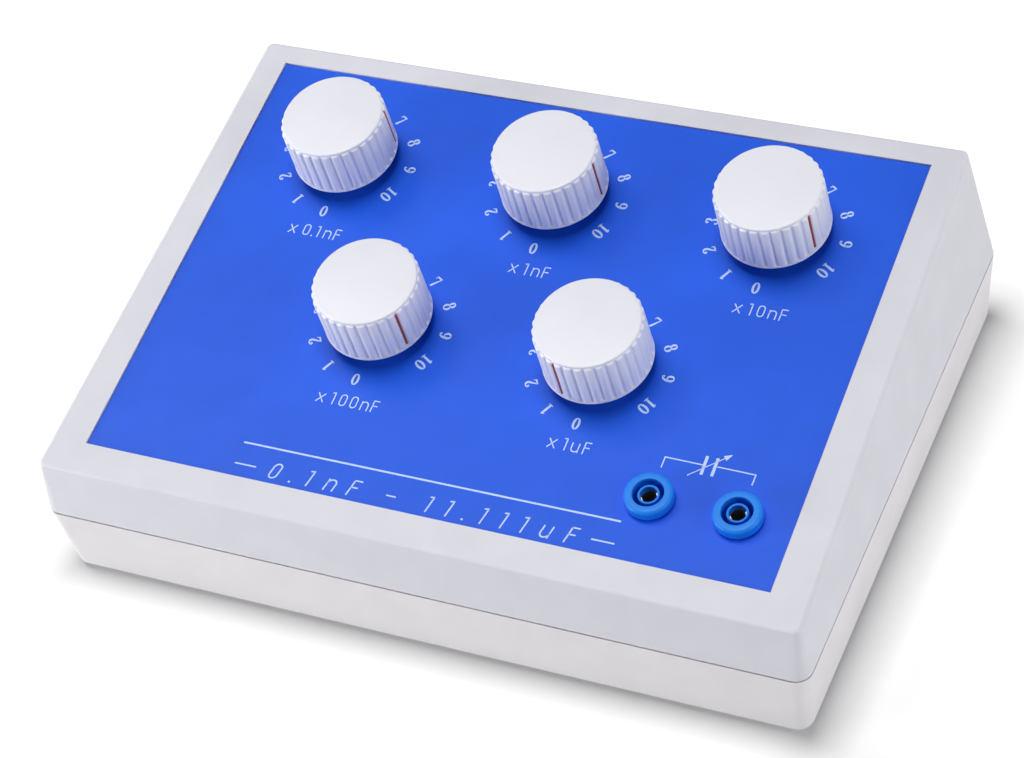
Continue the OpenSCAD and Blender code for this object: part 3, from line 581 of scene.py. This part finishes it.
def sockets():
    """Shrouded sockets with rounded rims: the two housings, and the two inner sleeves."""
    housing = [(SLOT_R, SLOT_BOTTOM)]
    housing += arc(SLOT_R + SLOT_EDGE, FLANGE_H - SLOT_EDGE, SLOT_EDGE, 180, 90)
    housing += arc(FLANGE_R - FLANGE_EDGE, FLANGE_H - FLANGE_EDGE, FLANGE_EDGE, 90, 0)
    housing += arc(FLANGE_R - FLANGE_FOOT_EDGE, FLANGE_FOOT_EDGE, FLANGE_FOOT_EDGE, 0, -90)
    housing += [(BARREL_R, 0), (BARREL_R, BARREL_BOTTOM)]
    housing += [(SLEEVE_SEAT_R, BARREL_BOTTOM), (SLEEVE_SEAT_R, SLOT_BOTTOM)]
    sleeve = [(CONTACT_SEAT_R, MOUTH_BOTTOM), (CONTACT_SEAT_R, BARREL_BOTTOM)]
    sleeve += [(SLEEVE_R, BARREL_BOTTOM)]
    sleeve += arc(SLEEVE_R - SLEEVE_EDGE, SLEEVE_TOP - SLEEVE_EDGE, SLEEVE_EDGE, 0, 90)
    sleeve += arc(MOUTH_R + SLEEVE_EDGE, SLEEVE_TOP - SLEEVE_EDGE, SLEEVE_EDGE, 90, 180)
    sleeve += [(MOUTH_R, MOUTH_BOTTOM)]
    places = socket_places()
    for name, profile in (("socket_housings", housing), ("socket_sleeves", sleeve)):
        shape = Shape()
        rings = [circle(r, z, LATHE_POINTS) for r, z in profile]
        for x, y in places:
            moved = [[(x + p[0], y + p[1], p[2]) for p in ring] for ring in rings]
            shape.loft(moved, closed=True)
        piece = shape.piece(f"rounded_{name}", MATERIALS["socket_blue"], "case")
        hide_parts(name)


def leaf_ring(place, leaf_angle, inner_r, z):
    """Section of a leaf at one height: along its inner face and back along its outer one."""
    ring = []
    for r, (start, end) in ((inner_r, (-1, 1)), (inner_r + LEAF_T, (1, -1))):
        for k in range(LEAF_STEPS + 1):
            share = start + (end - start) * k / LEAF_STEPS
            angle = math.radians(leaf_angle + LEAF_HALF_SPAN * share)
            ring.append((place[0] + r * math.cos(angle), place[1] + r * math.sin(angle), z))
    return ring


def contact_leaves():
    """Sprung leaves in the sockets' contacts, which grip a plug, in a much lighter metal than the
    contacts as a painted highlight.
    """
    shape = Shape()
    for place in socket_places():
        for leaf_angle in LEAF_ANGLES:
            rings = []
            for k in range(LEAF_STEPS + 1):
                z = LEAF_HIGH + (LEAF_LOW - LEAF_HIGH) * k / LEAF_STEPS
                inner_r = MOUTH_R - LEAF_T - LEAF_BULGE * math.sin(math.pi * k / LEAF_STEPS)
                rings.append(leaf_ring(place, leaf_angle, inner_r, z))
            shape.loft(rings)
    piece = shape.piece("contact_leaves", LEAF_GLINT_METAL, "case")


def film_edge():
    """Bare light edge of the blue film, which shows at the front and on the right: partly a painted
    highlight, drawn only where light catches the edge.
    """
    low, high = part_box("panel_film")
    up = PANEL.to_3x3() @ Vector((0, 0, 1))
    half_w = (high.x - low.x) / MM / 2 + FILM_EDGE_OUT
    half_l = ((high.y - low.y) / MM + FILM_T * up.y) / up.z / 2 + FILM_EDGE_OUT
    corners = [(-half_w, -half_l), (half_w, -half_l), (half_w, half_l)]
    shape = Shape()
    shape.stroke([(*corner, FILM_EDGE_W) for corner in corners])
    shape.piece("film_edge", FILM_EDGE_HIGHLIGHT, "case")


# Strokes of printed signs, each a path of (x, y, width) points and whether it closes

def line(start, end, width, end_width=None):
    """Straight stroke with round ends."""
    path = [(*start, width), (*end, end_width or width)]
    along = (Vector(end) - Vector(start)).normalized()
    steps = [math.radians(s) for s in END_STEPS]
    tips = []
    for (x, y, w), way in zip(path, (-1, 1)):
        tip = []
        for step in steps:
            reach = way * w / 2 * math.sin(step)
            tip.append((x + along.x * reach, y + along.y * reach, w * math.cos(step)))
        tips.append(tip)
    return tips[0][::-1] + path + tips[1], False


def ball(x, y, radius):
    """Round dot."""
    half = radius / DOT_ROUNDNESS
    return line((x - half, y), (x + half, y), 2 * radius)


def bow(centre, radii, start, end):
    """Curved stroke, thick where it runs upright and thin where it runs level."""
    steps = math.ceil(abs(end - start) / CURVE_STEP)
    path = []
    for k in range(steps + 1):
        a = math.radians(start + (end - start) * k / steps)
        upright = Vector((radii[0] * math.sin(a), radii[1] * math.cos(a))).normalized().y ** 2
        width = THIN + (THICK - THIN) * upright
        path.append((centre[0] + radii[0] * math.cos(a), centre[1] + radii[1] * math.sin(a), width))
    return path, False


def oval(centre, radii):
    """Closed curved stroke."""
    return bow(centre, radii, 0, 360)[0][:-1], True


def turned(strokes):
    """Strokes of a sign turned upside down."""
    return [([(-x, -y, w) for x, y, w in path], closed) for path, closed in strokes]


SIX = [
    oval((0, -0.2), (0.2, 0.265)),
    bow((0.12, -0.15), (0.33, 0.6), 75, 185),
    ball(0.16, 0.36, 0.075),
]
NUMERALS = {
    "0": [oval((0, 0), (0.205, 0.465))],
    "1": [
        line((0, -0.45), (0, 0.42), THICK),
        line((-0.17, -0.465), (0.17, -0.465), THIN),
        line((-0.16, 0.37), (0, 0.465), THIN),
    ],
    "2": [
        ball(-0.15, 0.27, 0.085),
        bow((-0.01, 0.24), (0.19, 0.225), 170, -30),
        line((0.155, 0.13), (-0.2, -0.42), THICK, THIN),
        line((-0.18, -0.42), (0.18, -0.42), 0.13),
        line((0.2, -0.42), (0.235, -0.25), THIN),
    ],
    "3": [
        bow((-0.02, 0.24), (0.18, 0.225), 160, -80),
        bow((-0.02, -0.23), (0.21, 0.235), 80, -160),
        ball(-0.15, 0.3, 0.08),
        ball(-0.17, -0.3, 0.08),
    ],
    "4": [
        line((0.06, 0.47), (-0.24, -0.17), THIN),
        line((-0.26, -0.19), (0.26, -0.19), THIN),
        line((0.09, 0.4), (0.09, -0.45), THICK),
        line((-0.04, -0.465), (0.22, -0.465), THIN),
    ],
    "5": [
        line((-0.12, 0.42), (0.17, 0.42), 0.12),
        line((-0.15, 0.45), (-0.17, 0.05), THIN),
        bow((-0.02, -0.17), (0.2, 0.29), 130, -160),
        ball(-0.16, -0.3, 0.08),
    ],
    "6": SIX,
    "7": [
        line((-0.2, 0.42), (0.2, 0.42), 0.13),
        line((0.21, 0.4), (-0.06, -0.44), THIN, THICK),
        line((-0.21, 0.44), (-0.235, 0.26), THIN),
    ],
    "8": [oval((0, 0.235), (0.165, 0.225)), oval((0, -0.22), (0.205, 0.25))],
    "9": turned(SIX),
}


def dial_numbers(dial):
    """Numbers round a dial with their tops outwards: 0 is at the front, and they rise clockwise."""
    shape = Shape()
    for number in range(HIGHEST_NUMBER + 1):
        angle = math.radians(ZERO_ANGLE - DIAL_STEP * number)
        up = Vector((math.cos(angle), math.sin(angle)))
        right = Vector((up.y, -up.x))
        middle = dial_place(dial) + up * NUMBER_RING_R
        digits = str(number)
        for k, digit in enumerate(digits):
            shift = (k - (len(digits) - 1) / 2) * DIGIT_PITCH
            for path, closed in NUMERALS[digit]:
                spots = [middle + (right * (x + shift) + up * y) * NUMBER_H for x, y, w in path]
                widths = [w * NUMBER_H for x, y, w in path]
                shape.stroke([(*spot, w) for spot, w in zip(spots, widths)], closed)
    shape.piece(f"dial_numbers_{dial}", INK, "case")


def pen_line(start, end):
    """Straight stroke of a letter."""
    return line(start, end, PEN)


def pen_path(*parts):
    """Stroke of a letter through points and bows."""
    path = []
    for part in parts:
        path += [(point[0], point[1], PEN) for point in part]
    return path


def pen_bow(x, y, radius, start, end):
    """Points of a round part of a letter."""
    return bow((x, y), (radius, radius), start, end)[0]


# Letters and figures of the labels: how far each moves the pen on, and its strokes
LETTERS = {
    " ": (1.6, []),
    ".": (0.9, [ball(0.15, 0.15, POINT_R)]),
    "-": (2.6, [pen_line((0.2, 1.7), (1.9, 1.7))]),
    "x": (3.6, [pen_line((0.1, 0.1), (1.9, 2.5)), pen_line((0.1, 2.5), (1.9, 0.1))]),
    "0": (2.95, [(pen_path(
        pen_bow(1.225, CAP_LETTER_H - PEN / 2 - ROUND_R, ROUND_R, 0, 180),
        pen_bow(1.225, PEN / 2 + ROUND_R, ROUND_R, 180, 360),
    ), True)]),
    "1": (2.1, [
        pen_line((0.85, 0.1), (0.85, CAP_LETTER_H - 0.1)),
        pen_line((0.2, CAP_LETTER_H - 0.22), (0.85, CAP_LETTER_H - 0.1)),
    ]),
    "n": (2.8, [
        pen_line((0.4, 0.1), (0.4, SMALL_LETTER_H - 0.1)),
        (pen_path(pen_bow(1.275, 1.6, ARCH_R, 180, 0), [(2.15, 0.0)]), False),
    ]),
    "u": (2.93, [
        pen_line((2.05, 0.1), (2.05, SMALL_LETTER_H - 0.1)),
        (pen_path([(0.3, SMALL_LETTER_H)], pen_bow(1.175, 1.0, ARCH_R, 180, 360)), False),
    ]),
    "F": (2.2, [
        pen_line((0.45, 0.1), (0.45, CAP_LETTER_H - PEN / 2)),
        pen_line((0.45, CAP_LETTER_H - PEN / 2), (1.85, CAP_LETTER_H - PEN / 2)),
        pen_line((0.45, 1.8), (1.7, 1.8)),
    ]),
}


def write(shape, words, place, slant=0, tracking=0, scale=1):
    """Adds printed words that start at a place on the panel."""
    lean = math.tan(math.radians(slant))
    pen_x, base_y = place
    for letter in words:
        advance, strokes = LETTERS[letter]
        for path, closed in strokes:
            spots = []
            for x, y, w in path:
                spots.append((pen_x + (x + y * lean) * scale, base_y + y * scale, w * scale))
            shape.stroke(spots, closed)
        pen_x += (advance + tracking) * scale


def words_length(words, tracking):
    """Length of printed words."""
    return sum(LETTERS[letter][0] for letter in words) + tracking * (len(words) - 1)


def dial_label(dial):
    """Step of a dial, printed under it."""
    words, place = LABELS[dial]
    shape = Shape()
    write(shape, words, dial_place(dial) + Vector(place))
    shape.piece(f"dial_label_{dial}", INK, "case")


def panel_lines():
    """Long rule over the range, and the dashes beside it."""
    shape = Shape()
    for ends, width in ((RULE, RULE_W), (DASHES[0], DASH_W), (DASHES[1], DASH_W)):
        shape.stroke([(*end, width) for end in ends])
    shape.piece("panel_lines", INK, "case")


def range_legend():
    """Least and greatest capacitance that the dials can set."""
    shape = Shape()
    start = -words_length(LEGEND, LEGEND_TRACKING) * LEGEND_SCALE / 2
    write(shape, LEGEND, (start, LEGEND_BASE), LEGEND_SLANT, LEGEND_TRACKING, LEGEND_SCALE)
    shape.piece("range_legend", INK, "case")


def capacitor_sign():
    """Sign of an adjustable capacitor over the sockets."""
    shape = Shape()
    for ends in SIGN_LINES:
        shape.stroke([(*end, SIGN_LINE_W) for end in ends])
    for ends in SIGN_PLATES:
        shape.stroke([(*end, SIGN_PLATE_W) for end in ends])
    tail = Vector(ARROW[0])
    tip = Vector(ARROW[1])
    neck = tip - (tip - tail).normalized() * ARROW_HEAD_L
    shape.stroke([(*tail, ARROW_LINE_W), (*neck, ARROW_LINE_W)])
    shape.stroke([(*neck, ARROW_HEAD_W), (*tip, ARROW_TIP_W)])
    shape.piece("capacitor_sign", INK, "case")


# Stage

def seen_rays(tree):
    """1 for rays that come from the camera, straight or by way of a reflection or glass."""
    path = tree.nodes.new("ShaderNodeLightPath")
    seen = path.outputs["Is Camera Ray"]
    for kind in ("Is Glossy Ray", "Is Transmission Ray"):
        either = tree.nodes.new("ShaderNodeMath")
        either.operation = "MAXIMUM"
        tree.links.new(seen, either.inputs[0])
        tree.links.new(path.outputs[kind], either.inputs[1])
        seen = either.outputs[0]
    return seen


def distance_from_foot(tree):
    """Distance on the floor from the rectangle on which the object stands."""
    place = tree.nodes.new("ShaderNodeTexCoord")
    value = place.outputs["Object"]
    steps = (
        ("ABSOLUTE", None),
        ("SUBTRACT", (*FOOT_HALF, 0)),
        ("MAXIMUM", (0, 0, 0)),
        ("LENGTH", None),
    )
    for operation, operand in steps:
        step = tree.nodes.new("ShaderNodeVectorMath")
        step.operation = operation
        if operand:
            step.inputs[1].default_value = Vector(operand) * MM
        tree.links.new(value, step.inputs[0])
        value = step.outputs["Value" if operation == "LENGTH" else "Vector"]
    return value


def floor():
    """Pale floor that keeps the object's shadow, with painted shade round its foot, and fades to
    white away from it.
    """
    mesh = bpy.data.meshes.new("floor")
    half = FLOOR_SIZE / 2 * MM
    corners = [(-half, -half, 0), (half, -half, 0), (half, half, 0), (-half, half, 0)]
    mesh.from_pydata(corners, [], [(0, 1, 2, 3)])
    plane = bpy.data.objects.new("floor", mesh)
    bpy.context.scene.collection.objects.link(plane)
    material, tree, shader = new_material("floor_white")
    shader.inputs["Base Color"].default_value = (FLOOR_GREY, FLOOR_GREY, FLOOR_GREY, 1)
    shader.inputs["Roughness"].default_value = 1.0
    shader.inputs["Specular IOR Level"].default_value = 0.0
    shader.inputs["Emission Color"].default_value = (1, 1, 1, 1)
    reach = distance_from_foot(tree)
    # Painted shade: close to the foot the floor glows less to the camera, whatever the lamps do
    near = map_range(tree, reach, (0, NEAR_FADE * MM), (0, NEAR_GLOW))
    far = map_range(tree, reach, (NEAR_FADE * MM, FAR_FADE * MM), (near, 1))
    glow = map_range(tree, seen_rays(tree), (0, 1), (FLOOR_GLOW, far))
    tree.links.new(glow, shader.inputs["Emission Strength"])
    mesh.materials.append(material)


def world():
    """Background that is white to the camera and in reflections, and lights nothing else."""
    sky = bpy.data.worlds.new("studio")
    sky.use_nodes = True
    tree = sky.node_tree
    background = tree.nodes["Background"]
    background.inputs["Color"].default_value = (1, 1, 1, 1)
    tree.links.new(seen_rays(tree), background.inputs["Strength"])
    bpy.context.scene.world = sky


def lamps():
    """Softboxes, all turned to the object."""
    for name, (place, size, power) in LAMPS.items():
        light = bpy.data.lights.new(name, "AREA")
        light.shape = "SQUARE"
        light.size = size * MM
        light.energy = power
        lamp = bpy.data.objects.new(name, light)
        lamp.location = Vector(place) * MM
        lamp.rotation_mode = "QUATERNION"
        lamp.rotation_quaternion = (Vector(LAMP_AIM) - Vector(place)).to_track_quat("-Z", "Y")
        bpy.context.scene.collection.objects.link(lamp)


def camera():
    """Camera at the photograph's viewing angle."""
    data = bpy.data.cameras.new("camera")
    data.sensor_width = SENSOR_W
    data.lens = FOCAL_PX * SENSOR_W / IMAGE_W_PX
    turn = (
        Matrix.Rotation(math.radians(CAMERA_HEADING), 4, "Z")
        @ Matrix.Rotation(math.radians(90 - CAMERA_ELEVATION), 4, "X")
        @ Matrix.Rotation(math.radians(CAMERA_ROLL), 4, "Z")
    )
    back = turn @ Vector((0, 0, CAMERA_DISTANCE))
    eye = bpy.data.objects.new("camera", data)
    eye.matrix_world = Matrix.Translation((Vector(CAMERA_AIM) + back) * MM) @ turn
    bpy.context.scene.collection.objects.link(eye)
    bpy.context.scene.camera = eye


camera()
dress_nodes()
for dial_number in DIALS:
    knob(dial_number)
    pointer(dial_number)
    dial_numbers(dial_number)
    dial_label(dial_number)
sockets()
contact_leaves()
film_edge()
panel_lines()
range_legend()
capacitor_sign()
floor()
world()
lamps()
bpy.context.scene.view_settings.view_transform = "Standard"
